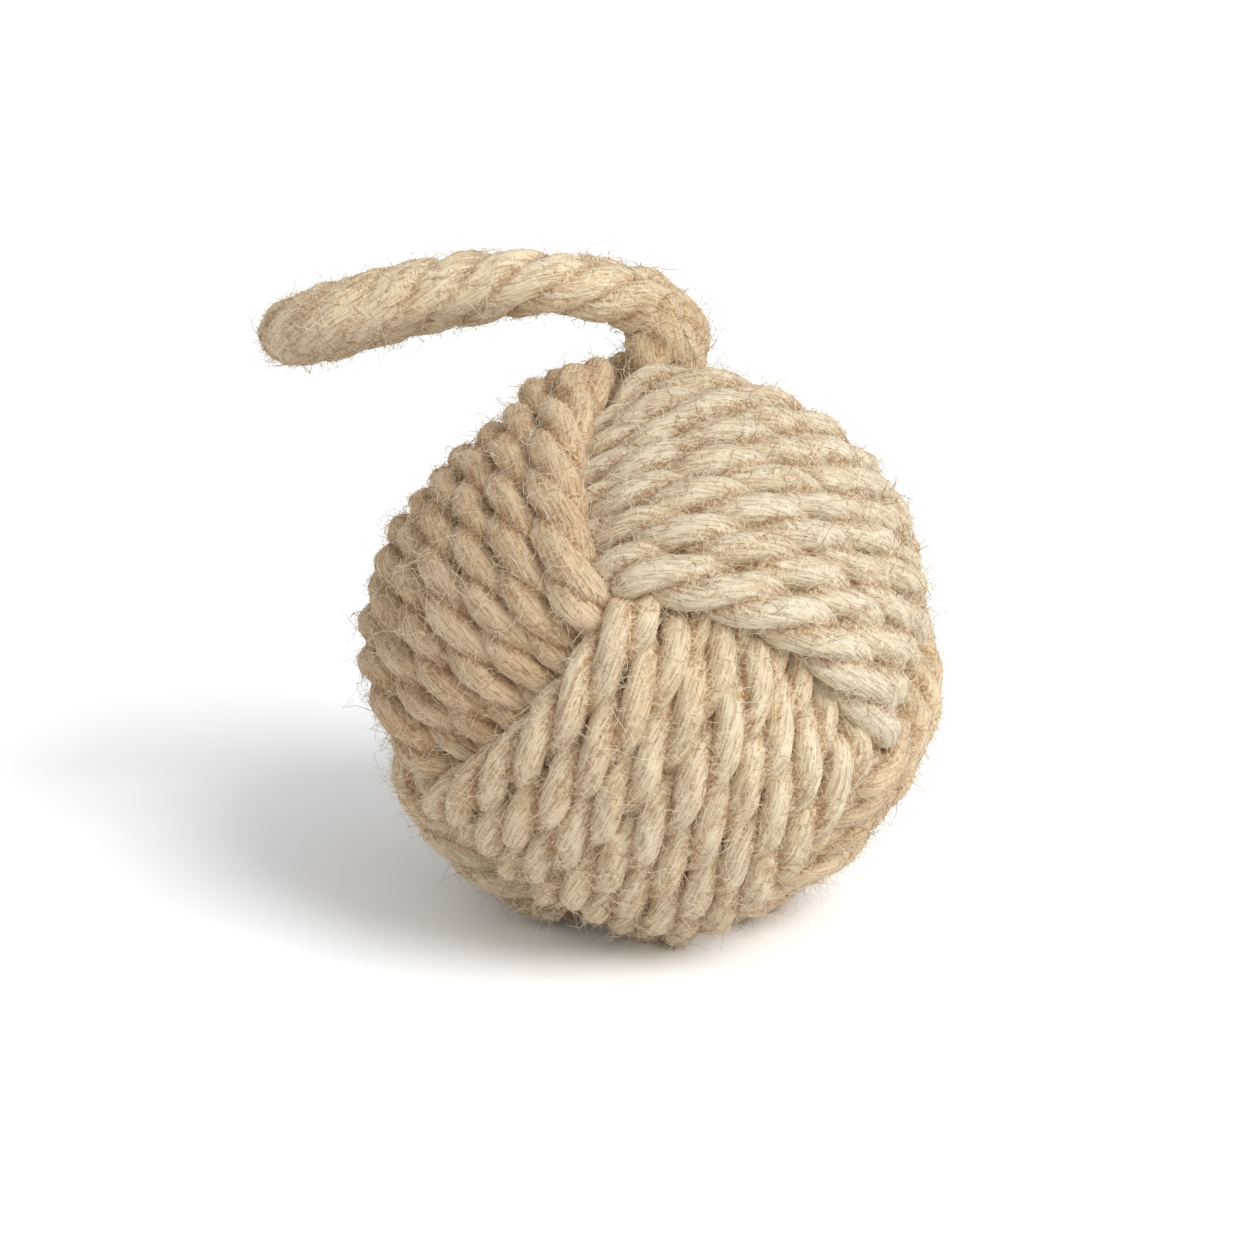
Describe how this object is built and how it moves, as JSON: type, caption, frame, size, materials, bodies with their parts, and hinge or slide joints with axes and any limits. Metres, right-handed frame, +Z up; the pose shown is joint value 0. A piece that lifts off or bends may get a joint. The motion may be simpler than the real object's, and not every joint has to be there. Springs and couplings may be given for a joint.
{
  "type": "rope knot doorstop",
  "caption": "Heavy ball of wound jute rope over a sand bag, flattened where it stands, with a rope loop handle that swings at one corner of the knot.",
  "frame": {"origin": "on the flat of the rope that the ball stands on, nearest the vertical through the ball's middle", "axes": "+Z up, +X to the right of the handle's loop as it lies at rest, -Y to the front"},
  "size_m": [0.1456, 0.1218, 0.1435],
  "materials": {
    "jute_rope": "dry, coarse three-strand natural jute with loose fibres",
    "calico": "plain unbleached cotton",
    "twine": "tarred hemp twine, matte",
    "sand": "dry sand, matte, stands as a solid"
  },
  "bodies": {
    "ball": {"sand_fill": "sand", "sand_bag": "calico", "bag_tie": "twine", "first_turns": "jute_rope", "second_turns": "jute_rope", "third_turns": "jute_rope", "tucked_end": "jute_rope"},
    "handle": {"handle_loop": "jute_rope"}
  },
  "joints": [
    {"name": "handle_swing", "type": "hinge", "parent": "ball", "child": "handle", "pos_m": [0.00301, 0.02647, 0.12027], "axis": [0.3235, 0.921, -0.217], "range_deg": [-24, 105]}
  ]
}
